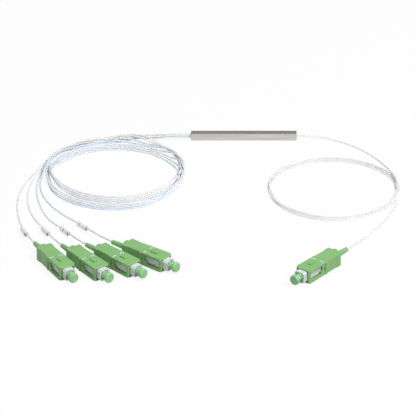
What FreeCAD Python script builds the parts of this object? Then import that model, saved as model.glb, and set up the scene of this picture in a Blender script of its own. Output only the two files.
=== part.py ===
import FreeCAD, Part
import math
import os
import Sketcher
from FreeCAD import Placement, Rotation, Vector

# A miniature fibre splitter. One input fibre enters a square steel tube, a planar glass chip
# shares its light between four output fibres, and every fibre ends in a square push-pull plug
# with an angled ferrule. The fibres lie on the table in two loose coils.
# The origin is the middle of the tube's underside, +X runs along the tube towards the input,
# +Y points away from the plugs and +Z points up. All lengths are millimetres.

DRIVING_SIZES = [
    # steel tube and its glass
    ("tube_length", 56.0),
    ("tube_side", 4.0),
    ("tube_wall", 0.4),
    ("tube_corner", 0.2),
    ("tube_play", 0.05),
    ("end_plug_length", 4.0),
    ("end_plug_recess", 0.3),
    ("glass_width", 2.4),
    ("base_thickness", 1.0),
    ("lid_thickness", 0.9),
    ("chip_length", 12.0),
    ("input_block_length", 5.0),
    ("output_block_length", 6.5),
    ("block_shelf", 1.6),
    ("bond_gap", 0.02),
    ("polish_angle", 8.0),
    # fibres
    ("jacket_diameter", 0.9),
    ("jacket_play", 0.05),
    ("output_pitch", 1.1),
    ("bare_diameter", 0.25),
    ("bare_pitch", 0.3),
    # plug grip, lengths counted back from its front face
    ("grip_width", 9.0),
    ("grip_height", 7.3),
    ("grip_length", 26.0),
    ("grip_front_length", 14.1),
    ("grip_front_corner", 1.7),
    ("grip_edge", 0.35),
    ("grip_narrowing", 0.25),
    ("grip_rib", 0.9),
    ("grip_step", 0.4),
    ("grip_taper", 0.2),
    ("grip_flare", 0.3),
    ("grip_flare_length", 2.0),
    ("grip_flange_length", 2.6),
    ("grip_flange_corner", 0.8),
    ("grip_band", 1.25),
    ("grip_side_inset", 0.45),
    ("bore_width", 6.7),
    ("bore_height", 5.9),
    ("window_front", 1.7),
    ("window_rear", 11.0),
    ("window_height", 4.1),
    ("window_block", 1.3),
    ("mould_hole", 0.9),
    ("mould_hole_at", 12.5),
    ("mark_length", 3.1),
    ("mark_width", 0.85),
    ("mark_gap", 2.0),
    ("mark_depth", 0.12),
    ("mark_at", 12.0),
    ("key_width", 2.0),
    ("key_front", 5.3),
    ("key_rear", 9.7),
    ("key_height", 0.6),
    ("key_corner", 0.6),
    ("tongue_width", 2.2),
    ("tongue_length", 0.8),
    ("grip_travel", 2.0),
    # plug frame, the white inner housing
    ("frame_reach", 2.5),
    ("frame_front_width", 5.8),
    ("frame_play", 0.1),
    ("frame_neck", 11.4),
    ("frame_rear", 22.0),
    ("frame_chamfer", 0.9),
    ("mouth_radius", 2.45),
    ("mouth_depth", 4.5),
    ("wall_rear", 5.7),
    ("wall_hole_radius", 1.4),
    ("chamber_radius", 2.4),
    ("ear_front", 1.9),
    ("ear_rear", 3.9),
    ("ear_height", 3.6),
    ("lug_rear", 16.0),
    ("lug_length", 1.2),
    ("lug_height", 1.8),
    ("lug_reach", 0.35),
    # ferrule, holder, spring and stop ring
    ("ferrule_radius", 1.25),
    ("ferrule_reach", 3.0),
    ("ferrule_rear", 7.5),
    ("ferrule_chamfer", 0.5),
    ("holder_front", 5.9),
    ("holder_flange_radius", 2.2),
    ("holder_flange_rear", 8.1),
    ("holder_tail_radius", 1.45),
    ("holder_rear", 12.0),
    ("holder_pocket", 2.5),
    ("spring_radius", 1.92),
    ("spring_wire", 0.45),
    ("spring_turns", 5.0),
    ("spring_play", 0.03),
    ("ring_front", 15.0),
    ("ring_play", 0.05),
    ("stub_radius", 1.0),
    ("stub_rear", 27.0),
    # boot and dust cap
    ("boot_play", 0.15),
    ("boot_flange_rear", 24.6),
    ("boot_root_radius", 1.7),
    ("boot_tip_radius", 1.15),
    ("boot_tip", 35.7),
    ("cap_sleeve_rear", 3.3),
    ("cap_sleeve_radius", 2.25),
    ("cap_bore_play", 0.03),
    ("cap_bore_end", 3.4),
    ("cap_waist_radius", 1.85),
    ("cap_waist_start", 3.4),
    ("cap_bulb_start", 4.8),
    ("cap_bulb_radius", 2.6),
    ("cap_front", 7.0),
    ("cap_round", 0.7),
    # marker sleeves
    ("sleeve_length", 7.6),
    ("sleeve_radius", 1.3),
    ("sleeve_bore_radius", 0.95),
    ("sleeve_sag", 0.43),
    # coils, each the outer shape of its turns
    ("output_coil_radius", 34.6),
    ("output_coil_half_band", 1.2),
    ("output_coil_spread", 14.4),
    ("output_coil_height", 3.8),
    ("input_coil_radius", 33.4),
    ("input_coil_half_band", 1.0),
    ("input_coil_spread", 4.4),
    ("input_coil_height", 2.0),
]

OUTPUT_COIL_CENTRE = (-66.9, -40.9)
INPUT_COIL_CENTRE = (45.9, -60.0)

# Where each plug lies: its grip's front centre on the table, and the way it points in degrees.
PLUG_PLACES = {
    "input": (27.3, -159.4, -129.6),
    "output_1": (-39.4, -146.9, -39.6),
    "output_2": (-55.1, -152.9, -46.4),
    "output_3": (-71.0, -156.8, -54.2),
    "output_4": (-87.9, -156.6, -60.5),
}

# Hand-chosen corners of each fibre's route between the tube, its coil and its plug. The ends
# in the tube and in the plug are worked out from those pieces.
OUTPUT_LEAD_ROUTES = [
    [(-52.0, -0.5, 0.6), (-65.0, -1.0, 0.5)],
    [(-52.0, 0.2, 1.3), (-65.0, 0.1, 0.5)],
    [(-52.0, -1.6, 0.5), (-65.0, -2.1, 0.5)],
    [(-52.0, 1.6, 1.0), (-65.0, 1.2, 0.5)],
]
INPUT_LEAD_ROUTE = [
    (53.0, -5.0, 0.45),
    (65.0, -17.0, 0.45),
    (73.5, -32.0, 0.45),
    (78.9, -48.5, 0.45),
    (79.4, -57.5, 0.45),
]
TAIL_ROUTES = {
    "input": [
        (79.2, -60.0, 0.45),
        (78.4, -75.0, 0.45),
        (72.6, -92.5, 0.45),
        (63.6, -110.0, 1.1),
    ],
    "output_1": [
        (-101.5, -28.0, 0.45),
        (-105.2, -42.0, 0.45),
        (-107.0, -59.0, 0.45),
        (-101.5, -76.5, 0.45),
        (-92.0, -90.8, 0.6),
        (-83.6, -101.8, 2.1),
    ],
    "output_2": [
        (-101.6, -27.0, 1.4),
        (-106.7, -43.0, 0.55),
        (-108.3, -60.5, 0.45),
        (-105.6, -78.5, 0.45),
        (-100.3, -95.0, 0.6),
        (-91.8, -107.6, 2.1),
    ],
    "output_3": [
        (-101.6, -26.0, 2.35),
        (-108.2, -41.5, 0.7),
        (-112.2, -57.0, 0.45),
        (-112.6, -74.5, 0.45),
        (-108.8, -91.6, 0.6),
        (-101.4, -107.7, 2.1),
    ],
    "output_4": [
        (-101.5, -25.0, 3.3),
        (-109.7, -41.0, 1.05),
        (-115.4, -57.0, 0.45),
        (-117.6, -74.0, 0.45),
        (-116.0, -92.0, 0.6),
        (-112.2, -107.5, 2.1),
    ],
}
# How far each marker sleeve sits along the run that ends behind its plug.
MARKER_SHARES = {"output_1": 0.1, "output_2": 0.1, "output_3": 0.1, "output_4": 0.2}
PLUG_RUN = 14.0
TUBE_RUN = 14.0
ARC_SHARE = 0.45
BARE_PLAY = 0.04
CUT_OVER = 1.0

doc = FreeCAD.newDocument("fibre_splitter")
sheet = doc.addObject("Spreadsheet::Sheet", "Sizes")
for row, (alias, number) in enumerate(DRIVING_SIZES, start=1):
    sheet.set(f"A{row}", alias)
    sheet.set(f"B{row}", str(number))
    sheet.setAlias(f"B{row}", alias)
doc.recompute()

nodes = {}


def size(alias):
    """The number that the sheet holds under this alias."""
    return float(sheet.get(alias))


def new_body(name, placement=None):
    """A body that becomes the node of the same name."""
    body = doc.addObject("PartDesign::Body", name)
    body.Label = name
    if placement is not None:
        body.Placement = placement
    nodes[name] = body
    return body


def new_sketch(body, plane, name, lift="0"):
    """An empty sketch on one of the body's own origin planes, lifted along its normal."""
    sketch = body.newObject("Sketcher::SketchObject", name)
    support = [part for part in body.Origin.OriginFeatures if part.Role == plane]
    sketch.AttachmentSupport = [(support[0], "")]
    sketch.MapMode = "FlatFace"
    sketch.setExpression("AttachmentOffset.Base.z", lift)
    return sketch


def pin(sketch, geometry, point, across, up):
    """Hold one point of the sketch at two expressions, counted from the sketch's origin."""
    for kind, text in (("DistanceX", across), ("DistanceY", up)):
        index = sketch.addConstraint(Sketcher.Constraint(kind, -1, 1, geometry, point, 1.0))
        sketch.setExpression(f"Constraints[{index}]", text)


def outline(body, plane, name, corners, lift="0"):
    """A closed polygon sketch with each corner held by expressions."""
    sketch = new_sketch(body, plane, name, lift)
    add_outline(sketch, corners)
    return sketch


def add_outline(sketch, corners):
    """One more closed polygon in a sketch."""
    first = sketch.GeometryCount
    count = len(corners)
    turns = [2.0 * math.pi * step / count for step in range(count)]
    start = [Vector(math.cos(turn), math.sin(turn), 0) for turn in turns]
    for step in range(count):
        line = Part.LineSegment(start[step], start[(step + 1) % count])
        sketch.addGeometry(line, False)
    for step in range(count):
        after = first + (step + 1) % count
        sketch.addConstraint(Sketcher.Constraint("Coincident", first + step, 2, after, 1))
    for step, (across, up) in enumerate(corners):
        pin(sketch, first + step, 1, across, up)


def add_circle(sketch, across, up, radius):
    """One more circle in a sketch, its centre and radius held by expressions."""
    circle = Part.Circle(Vector(0, 0, 0), Vector(0, 0, 1), 1.0)
    index = sketch.addGeometry(circle, False)
    pin(sketch, index, 3, across, up)
    held = sketch.addConstraint(Sketcher.Constraint("Radius", index, 1.0))
    sketch.setExpression(f"Constraints[{held}]", radius)


def box_corners(left, right, low, high):
    """The four corners of an upright rectangle."""
    return [(left, low), (right, low), (right, high), (left, high)]


def both_sides(corners):
    """An outline that is the same on both sides of the first axis."""
    mirrored = [(across, f"-({up})") for across, up in reversed(corners)]
    return corners + mirrored


def extrude(body, kind, name, sketch, length=None, symmetric=False, backward=False):
    """A Pad or Pocket of the sketch. A Pocket without a length goes right through."""
    feature = body.newObject(f"PartDesign::{kind}", name)
    feature.Profile = sketch
    if symmetric:
        feature.SideType = "Symmetric"
    if length is None:
        feature.Type = "ThroughAll"
    else:
        feature.setExpression("Length", length)
    feature.Reversed = backward
    sketch.Visibility = False
    return feature


def turn(body, kind, name, sketch):
    """A Revolution or Groove of the sketch about the body's X axis."""
    feature = body.newObject(f"PartDesign::{kind}", name)
    feature.Profile = sketch
    feature.ReferenceAxis = (sketch, ["H_Axis"])
    feature.Angle = 360.0
    return feature


def edges_where(shape, wanted):
    """The names of the shape's edges for which the test is true."""
    return [f"Edge{n}" for n, edge in enumerate(shape.Edges, start=1) if wanted(edge)]


def dress(body, kind, name, amount, wanted):
    """A Fillet or Chamfer on the edges of the body so far that pass the test."""
    doc.recompute()
    base = body.Tip
    feature = body.newObject(f"PartDesign::{kind}", name)
    feature.Base = (base, edges_where(base.Shape, wanted))
    feature.setExpression("Radius" if kind == "Fillet" else "Size", amount)
    return feature


def near(first, second, slack=0.001):
    """Whether two lengths are the same, apart from rounding."""
    return abs(first - second) < slack


def runs_along(edge, axis):
    """Whether a straight edge lies along X, Y or Z, given as 0, 1 or 2."""
    if edge.Curve.TypeId != "Part::GeomLine":
        return False
    direction = edge.tangentAt(edge.FirstParameter)
    return near(abs(direction[axis]), 1.0)


def spread_of(edge, axis):
    """Lowest and highest place of an edge along X, Y or Z, given as 0, 1 or 2."""
    box = edge.BoundBox
    return ((box.XMin, box.XMax), (box.YMin, box.YMax), (box.ZMin, box.ZMax))[axis]


# ---------------------------------------------------------------- splitter housing


def make_steel_tube():
    """A drawn square tube, open at both ends."""
    body = new_body("steel_tube")
    sketch = new_sketch(body, "YZ_Plane", "tube_section")
    half = "Sizes.tube_side / 2"
    add_outline(sketch, box_corners(f"-{half}", half, "0", "Sizes.tube_side"))
    inner = "Sizes.tube_side / 2 - Sizes.tube_wall"
    high = "Sizes.tube_side - Sizes.tube_wall"
    add_outline(sketch, box_corners(f"-({inner})", inner, "Sizes.tube_wall", high))
    extrude(body, "Pad", "tube_pad", sketch, "Sizes.tube_length", symmetric=True)
    side = size("tube_side")

    def outer_corner(edge):
        across = spread_of(edge, 1)
        return runs_along(edge, 0) and near(abs(across[0]), side / 2)

    dress(body, "Fillet", "tube_corners", "Sizes.tube_corner", outer_corner)
    return body


def make_end_plug(name, side, holes):
    """A soft square plug in the tube's end, cast round the jackets that leave there."""
    body = new_body(name)
    inner = "(Sizes.tube_side / 2 - Sizes.tube_wall - Sizes.tube_play)"
    outer_end = "(Sizes.tube_length / 2 - Sizes.end_plug_recess)"
    sketch = new_sketch(body, "YZ_Plane", f"{name}_section", f"{side} * {outer_end}")
    middle = "Sizes.tube_side / 2"
    add_outline(sketch, box_corners(f"-{inner}", inner, f"{middle} - {inner}", f"{middle} + {inner}"))
    for across, up in holes:
        radius = "Sizes.jacket_diameter / 2 + Sizes.jacket_play"
        add_circle(sketch, across, f"{middle} + {up}", radius)
    extrude(body, "Pad", f"{name}_pad", sketch, "Sizes.end_plug_length", backward=side > 0)
    return body


def output_holes():
    """The four places, two by two, where the output jackets leave the tube."""
    half = "Sizes.output_pitch / 2"
    return [(half, f"-{half}"), (f"-{half}", half), (f"-{half}", f"-{half}"), (half, half)]


def glass_base():
    """Height of the underside of the bonded glass, just clear of the tube's floor."""
    return "(Sizes.tube_wall + Sizes.tube_play)"


def make_glass(name, corners):
    """A glass piece: its outline seen from the side, padded to the glass width."""
    body = new_body(name)
    sketch = outline(body, "XZ_Plane", f"{name}_side", corners)
    extrude(body, "Pad", f"{name}_pad", sketch, "Sizes.glass_width", symmetric=True)
    return body


def make_chip_and_blocks():
    """The splitter chip between two fibre blocks, with bonded faces ground at an angle."""
    low = glass_base()
    split = f"{low} + Sizes.base_thickness"
    high = f"{split} + Sizes.lid_thickness"
    lean = "tan(Sizes.polish_angle * 1 deg) * (Sizes.base_thickness + Sizes.lid_thickness) / 2"
    end = "Sizes.chip_length / 2"
    make_glass(
        "plc_chip",
        [
            (f"-{end} - {lean}", low),
            (f"{end} - {lean}", low),
            (f"{end} + {lean}", high),
            (f"-{end} + {lean}", high),
        ],
    )
    face = f"{end} + Sizes.bond_gap"
    back = f"{face} + Sizes.input_block_length"
    make_glass(
        "input_fibre_block",
        [
            (f"{face} - {lean}", low),
            (back, low),
            (back, split),
            (f"{back} - Sizes.block_shelf", split),
            (f"{back} - Sizes.block_shelf", high),
            (f"{face} + {lean}", high),
        ],
    )
    back = f"{face} + Sizes.output_block_length"
    make_glass(
        "output_fibre_block",
        [
            (f"-({face}) - {lean}", low),
            (f"-({back})", low),
            (f"-({back})", split),
            (f"-({back}) + Sizes.block_shelf", split),
            (f"-({back}) + Sizes.block_shelf", high),
            (f"-({face}) + {lean}", high),
        ],
    )


# ---------------------------------------------------------------- one plug


def plug_placement(name):
    """Where a plug's own frame lies: front face centre, on the ferrule's axis."""
    across, along, heading = PLUG_PLACES[name]
    turned = Rotation(Vector(0, 0, 1), heading)
    return Placement(Vector(across, along, size("grip_height") / 2), turned)


def make_grip(name, placement):
    """The push-pull grip that slides on the frame."""
    body = new_body(name, placement)
    half = "Sizes.grip_width / 2"
    waist = f"{half} - Sizes.grip_step"
    narrow = f"{waist} - Sizes.grip_taper"
    flange = f"{narrow} + Sizes.grip_flare"
    rib = "-Sizes.grip_front_length + Sizes.grip_rib"
    flange_front = "-Sizes.grip_length + Sizes.grip_flange_length"
    plan = outline(
        body,
        "XY_Plane",
        f"{name}_plan",
        both_sides(
            [
                ("0", half),
                ("-Sizes.window_front", half),
                (f"{rib} + Sizes.grip_narrowing", f"{half} - Sizes.grip_narrowing"),
                (rib, half),
                ("-Sizes.grip_front_length", half),
                ("-Sizes.grip_front_length", waist),
                (f"{flange_front} + Sizes.grip_flare_length", narrow),
                (flange_front, flange),
                ("-Sizes.grip_length", flange),
            ]
        ),
    )
    extrude(body, "Pad", f"{name}_block", plan, "Sizes.grip_height", symmetric=True)
    side = size("grip_width") / 2

    def upright_at(edge, place):
        return runs_along(edge, 2) and near(spread_of(edge, 0)[0], place)

    dress(
        body,
        "Fillet",
        f"{name}_front_corners",
        "Sizes.grip_front_corner",
        lambda edge: upright_at(edge, 0.0) and near(abs(spread_of(edge, 1)[0]), side),
    )
    dress(
        body,
        "Fillet",
        f"{name}_rear_corners",
        "Sizes.grip_flange_corner",
        lambda edge: upright_at(edge, -size("grip_length")),
    )
    top = size("grip_height") / 2

    def on_rim(edge):
        low, high = spread_of(edge, 2)
        return near(low, high) and near(abs(low), top)

    dress(body, "Fillet", f"{name}_rims", "Sizes.grip_edge", on_rim)

    inset = new_sketch(body, "YZ_Plane", f"{name}_inset_ends")
    flank = f"{half} - Sizes.grip_side_inset"
    belt = "(Sizes.grip_height / 2 - Sizes.grip_band)"
    beyond = f"{half} + {CUT_OVER}"
    add_outline(inset, box_corners(flank, beyond, f"-{belt}", belt))
    add_outline(inset, box_corners(f"-({beyond})", f"-({flank})", f"-{belt}", belt))
    extrude(body, "Pocket", f"{name}_insets", inset, "Sizes.grip_front_length - Sizes.grip_rib")

    bore = outline(
        body,
        "YZ_Plane",
        f"{name}_bore_end",
        box_corners(
            "-Sizes.bore_width / 2",
            "Sizes.bore_width / 2",
            "-Sizes.bore_height / 2",
            "Sizes.bore_height / 2",
        ),
    )
    extrude(body, "Pocket", f"{name}_bore", bore)

    window = outline(
        body,
        "XZ_Plane",
        f"{name}_window_side",
        [
            ("-Sizes.window_front", "-Sizes.window_height / 2"),
            ("-Sizes.window_rear + Sizes.window_block", "-Sizes.window_height / 2"),
            (
                "-Sizes.window_rear + Sizes.window_block",
                "-Sizes.window_height / 2 + Sizes.window_block",
            ),
            ("-Sizes.window_rear", "-Sizes.window_height / 2 + Sizes.window_block"),
            ("-Sizes.window_rear", "Sizes.window_height / 2"),
            ("-Sizes.window_front", "Sizes.window_height / 2"),
        ],
    )
    wide = f"Sizes.grip_width + {CUT_OVER}"
    extrude(body, "Pocket", f"{name}_windows", window, wide, symmetric=True)

    hole = outline(
        body,
        "XZ_Plane",
        f"{name}_hole_side",
        box_corners(
            "-Sizes.mould_hole_at - Sizes.mould_hole / 2",
            "-Sizes.mould_hole_at + Sizes.mould_hole / 2",
            "-Sizes.mould_hole / 2",
            "Sizes.mould_hole / 2",
        ),
    )
    extrude(body, "Pocket", f"{name}_holes", hole, wide, symmetric=True)

    slot = outline(
        body,
        "XZ_Plane",
        f"{name}_slot_side",
        box_corners(
            "-Sizes.lug_rear - Sizes.frame_play",
            "-Sizes.lug_rear + Sizes.lug_length + Sizes.grip_travel + Sizes.frame_play",
            "-Sizes.lug_height / 2 - Sizes.frame_play",
            "Sizes.lug_height / 2 + Sizes.frame_play",
        ),
    )
    reach = "Sizes.bore_width + 2 * Sizes.lug_reach"
    extrude(body, "Pocket", f"{name}_lug_slots", slot, reach, symmetric=True)

    key = outline(
        body,
        "XY_Plane",
        f"{name}_key_plan",
        box_corners(
            "-Sizes.key_rear",
            "-Sizes.key_front",
            "-Sizes.key_width / 2",
            "Sizes.key_width / 2",
        ),
        "Sizes.grip_height / 2",
    )
    extrude(body, "Pad", f"{name}_key", key, "Sizes.key_height")
    dress(
        body,
        "Fillet",
        f"{name}_key_corners",
        "Sizes.key_corner",
        lambda edge: upright_at(edge, -size("key_front")) and spread_of(edge, 2)[1] > top,
    )

    marks = new_sketch(body, "XY_Plane", f"{name}_mark_plan", "Sizes.grip_height / 2")
    for way in ("", "-"):
        inner = f"{way}Sizes.mark_gap / 2"
        outer = f"{way}(Sizes.mark_gap / 2 + Sizes.mark_length)"
        rear = "-Sizes.mark_at - Sizes.mark_width / 2"
        front = "-Sizes.mark_at + Sizes.mark_width / 2"
        add_outline(marks, box_corners(rear, front, inner, outer))
    extrude(body, "Pocket", f"{name}_marks", marks, "Sizes.mark_depth")

    tongue = outline(
        body,
        "YZ_Plane",
        f"{name}_tongue_end",
        box_corners(
            "-Sizes.tongue_width / 2",
            "Sizes.tongue_width / 2",
            "Sizes.bore_height / 2",
            "Sizes.grip_height / 2",
        ),
        "-Sizes.grip_length",
    )
    extrude(body, "Pad", f"{name}_tongue", tongue, "Sizes.tongue_length", backward=True)
    return body


def make_plug_frame(name, placement):
    """The inner housing: a stepped block with the ferrule's mouth and the spring's chamber."""
    body = new_body(name, placement)
    front = "Sizes.frame_front_width / 2"
    rear = "(Sizes.bore_width / 2 - Sizes.frame_play)"
    tall = "Sizes.bore_height - 2 * Sizes.frame_play"
    plan = outline(
        body,
        "XY_Plane",
        f"{name}_plan",
        both_sides(
            [
                ("Sizes.frame_reach", front),
                ("-Sizes.frame_neck", front),
                ("-Sizes.frame_neck", rear),
                ("-Sizes.frame_rear", rear),
            ]
        ),
    )
    extrude(body, "Pad", f"{name}_block", plan, tall, symmetric=True)
    flank = size("frame_front_width") / 2

    def front_corner(edge):
        return runs_along(edge, 0) and near(abs(spread_of(edge, 1)[0]), flank)

    dress(body, "Chamfer", f"{name}_corners", "Sizes.frame_chamfer", front_corner)

    ears = outline(
        body,
        "XZ_Plane",
        f"{name}_ear_side",
        box_corners(
            "-Sizes.ear_rear",
            "-Sizes.ear_front",
            "-Sizes.ear_height / 2",
            "Sizes.ear_height / 2",
        ),
    )
    extrude(body, "Pad", f"{name}_ears", ears, f"2 * {rear}", symmetric=True)

    lug_front = "-Sizes.lug_rear + Sizes.lug_length"
    peak = f"{rear} + Sizes.lug_reach"
    lugs = outline(
        body,
        "XY_Plane",
        f"{name}_lug_plan",
        both_sides(
            [
                (lug_front, rear),
                (f"{lug_front} - Sizes.lug_reach", peak),
                ("-Sizes.lug_rear", peak),
            ]
        ),
    )
    extrude(body, "Pad", f"{name}_lugs", lugs, "Sizes.lug_height", symmetric=True)

    cavity = outline(
        body,
        "XZ_Plane",
        f"{name}_cavity_half",
        [
            (f"Sizes.frame_reach + {CUT_OVER}", "0"),
            (f"Sizes.frame_reach + {CUT_OVER}", "Sizes.mouth_radius"),
            ("-Sizes.mouth_depth", "Sizes.mouth_radius"),
            ("-Sizes.mouth_depth", "Sizes.wall_hole_radius"),
            ("-Sizes.wall_rear", "Sizes.wall_hole_radius"),
            ("-Sizes.wall_rear", "Sizes.chamber_radius"),
            (f"-Sizes.frame_rear - {CUT_OVER}", "Sizes.chamber_radius"),
            (f"-Sizes.frame_rear - {CUT_OVER}", "0"),
        ],
    )
    turn(body, "Groove", f"{name}_cavity", cavity)
    return body


def make_ferrule(name, placement):
    """The ceramic ferrule, with a chamfered tip ground at the polish angle."""
    body = new_body(name, placement)
    profile = outline(
        body,
        "XZ_Plane",
        f"{name}_half",
        [
            ("-Sizes.ferrule_rear", "0"),
            ("-Sizes.ferrule_rear", "Sizes.ferrule_radius"),
            ("Sizes.ferrule_reach - Sizes.ferrule_chamfer", "Sizes.ferrule_radius"),
            ("Sizes.ferrule_reach", "Sizes.ferrule_radius - Sizes.ferrule_chamfer"),
            ("Sizes.ferrule_reach", "0"),
        ],
    )
    turn(body, "Revolution", f"{name}_turned", profile)
    lean = "tan(Sizes.polish_angle * 1 deg)"
    grind = outline(
        body,
        "XZ_Plane",
        f"{name}_grind_side",
        [
            ("Sizes.ferrule_reach", "-Sizes.ferrule_radius"),
            (f"Sizes.ferrule_reach - 2 * Sizes.ferrule_radius * {lean}", "Sizes.ferrule_radius"),
            (f"Sizes.ferrule_reach + {CUT_OVER}", "Sizes.ferrule_radius"),
            (f"Sizes.ferrule_reach + {CUT_OVER}", "-Sizes.ferrule_radius"),
        ],
    )
    across = f"2 * Sizes.ferrule_radius + {CUT_OVER}"
    extrude(body, "Pocket", f"{name}_grind", grind, across, symmetric=True)
    return body


def make_ferrule_holder(name, placement):
    """The flanged holder pressed on the ferrule's rear, where the fibre's jacket ends."""
    body = new_body(name, placement)
    jacket = "Sizes.jacket_diameter / 2 + Sizes.jacket_play"
    profile = outline(
        body,
        "XZ_Plane",
        f"{name}_half",
        [
            ("-Sizes.holder_front", "Sizes.ferrule_radius"),
            ("-Sizes.holder_front", "Sizes.holder_flange_radius"),
            ("-Sizes.holder_flange_rear", "Sizes.holder_flange_radius"),
            ("-Sizes.holder_flange_rear", "Sizes.holder_tail_radius"),
            ("-Sizes.holder_rear", "Sizes.holder_tail_radius"),
            ("-Sizes.holder_rear", jacket),
            ("-Sizes.holder_rear + Sizes.holder_pocket", jacket),
            ("-Sizes.holder_rear + Sizes.holder_pocket", "0"),
            ("-Sizes.ferrule_rear", "0"),
            ("-Sizes.ferrule_rear", "Sizes.ferrule_radius"),
        ],
    )
    turn(body, "Revolution", f"{name}_turned", profile)
    return body


def make_spring(name, placement):
    """The coil spring between the holder's flange and the stop ring."""
    body = new_body(name, placement)
    wire = "Sizes.spring_wire / 2"
    sketch = new_sketch(body, "XZ_Plane", f"{name}_wire_end")
    add_circle(
        sketch,
        f"-Sizes.ring_front + {wire} + Sizes.spring_play",
        "Sizes.spring_radius",
        wire,
    )
    doc.recompute()
    helix = body.newObject("PartDesign::AdditiveHelix", f"{name}_helix")
    helix.Profile = sketch
    helix.ReferenceAxis = (sketch, ["H_Axis"])
    helix.Mode = "height-turns-angle"
    length = "Sizes.ring_front - Sizes.holder_flange_rear"
    helix.setExpression("Height", f"{length} - Sizes.spring_wire - 2 * Sizes.spring_play")
    helix.setExpression("Turns", "Sizes.spring_turns")
    helix.Angle = 0.0
    return body


def make_stop_ring(name, placement):
    """The ring that closes the chamber, with a stub that the boot is pushed on."""
    body = new_body(name, placement)
    outer = "Sizes.chamber_radius - Sizes.ring_play"
    bore = "Sizes.jacket_diameter / 2 + Sizes.jacket_play"
    profile = outline(
        body,
        "XZ_Plane",
        f"{name}_half",
        [
            ("-Sizes.ring_front", bore),
            ("-Sizes.ring_front", outer),
            ("-Sizes.frame_rear", outer),
            ("-Sizes.frame_rear", "Sizes.stub_radius"),
            ("-Sizes.stub_rear", "Sizes.stub_radius"),
            ("-Sizes.stub_rear", bore),
        ],
    )
    turn(body, "Revolution", f"{name}_turned", profile)
    return body


def make_boot(name, placement):
    """The bend relief: a square flange inside the grip, then a tapered tail."""
    body = new_body(name, placement)
    wide = "(Sizes.bore_width / 2 - Sizes.boot_play)"
    tall = "(Sizes.bore_height / 2 - Sizes.boot_play)"
    flange_front = "-Sizes.frame_rear - Sizes.ring_play"
    flange = outline(
        body,
        "YZ_Plane",
        f"{name}_flange_end",
        box_corners(f"-{wide}", wide, f"-{tall}", tall),
        flange_front,
    )
    length = "Sizes.boot_flange_rear - Sizes.frame_rear - Sizes.ring_play"
    extrude(body, "Pad", f"{name}_flange", flange, length, backward=True)
    tail = outline(
        body,
        "XZ_Plane",
        f"{name}_tail_half",
        [
            (flange_front, "0"),
            (flange_front, "Sizes.boot_root_radius"),
            ("-Sizes.boot_flange_rear", "Sizes.boot_root_radius"),
            ("-Sizes.boot_tip + Sizes.boot_tip_radius / 4", "Sizes.boot_tip_radius"),
            ("-Sizes.boot_tip", "Sizes.boot_tip_radius * 3 / 4"),
            ("-Sizes.boot_tip", "0"),
        ],
    )
    turn(body, "Revolution", f"{name}_tail", tail)
    stub = "Sizes.stub_radius + Sizes.jacket_play"
    jacket = "Sizes.jacket_diameter / 2 + Sizes.jacket_play"
    bore = outline(
        body,
        "XZ_Plane",
        f"{name}_bore_half",
        [
            (f"-Sizes.frame_rear + {CUT_OVER}", "0"),
            (f"-Sizes.frame_rear + {CUT_OVER}", stub),
            ("-Sizes.stub_rear - Sizes.ring_play", stub),
            ("-Sizes.stub_rear - Sizes.ring_play", jacket),
            (f"-Sizes.boot_tip - {CUT_OVER}", jacket),
            (f"-Sizes.boot_tip - {CUT_OVER}", "0"),
        ],
    )
    turn(body, "Groove", f"{name}_bore", bore)
    return body


def make_dust_cap(name, placement):
    """The cap over the ferrule: a thin sleeve, a waist to hold and a rounded head."""
    body = new_body(name, placement)
    bore = "Sizes.ferrule_radius + Sizes.cap_bore_play"
    profile = outline(
        body,
        "XZ_Plane",
        f"{name}_half",
        [
            ("-Sizes.cap_sleeve_rear", bore),
            ("-Sizes.cap_sleeve_rear", "Sizes.cap_sleeve_radius"),
            ("Sizes.cap_waist_start", "Sizes.cap_sleeve_radius"),
            ("Sizes.cap_waist_start", "Sizes.cap_waist_radius"),
            ("Sizes.cap_bulb_start", "Sizes.cap_waist_radius"),
            ("Sizes.cap_bulb_start", "Sizes.cap_bulb_radius"),
            ("Sizes.cap_front", "Sizes.cap_bulb_radius"),
            ("Sizes.cap_front", "0"),
            ("Sizes.cap_bore_end", "0"),
            ("Sizes.cap_bore_end", bore),
        ],
    )
    turn(body, "Revolution", f"{name}_turned", profile)
    head = size("cap_bulb_radius")

    def head_rim(edge):
        return edge.Curve.TypeId == "Part::GeomCircle" and near(edge.Curve.Radius, head)

    dress(body, "Fillet", f"{name}_head_round", "Sizes.cap_round", head_rim)
    return body


PLUG_PIECES = {
    "grip": make_grip,
    "plug_frame": make_plug_frame,
    "ferrule": make_ferrule,
    "ferrule_holder": make_ferrule_holder,
    "spring": make_spring,
    "stop_ring": make_stop_ring,
    "boot": make_boot,
    "dust_cap": make_dust_cap,
}


# ---------------------------------------------------------------- fibres and what lies on them


def route_wire(points):
    """Straight runs joined by tangent arcs, as one wire, with the arcs' radii and length."""
    edges = []
    radii = []
    start = points[0]
    for before, corner, after in zip(points, points[1:], points[2:]):
        back = before - corner
        ahead = after - corner
        turn_angle = math.pi - back.getAngle(ahead)
        reach = ARC_SHARE * min(back.Length, ahead.Length)
        radius = reach / math.tan(turn_angle / 2)
        radii.append(radius)
        entry = corner + back.normalize() * reach
        leave = corner + ahead.normalize() * reach
        inward = back + ahead
        to_centre = inward.normalize() * (radius / math.cos(turn_angle / 2))
        middle = corner + to_centre - inward * radius
        edges.append(Part.LineSegment(start, entry).toShape())
        edges.append(Part.Arc(entry, middle, leave).toShape())
        start = leave
    edges.append(Part.LineSegment(start, points[-1]).toShape())
    return Part.Wire(edges), radii


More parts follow.
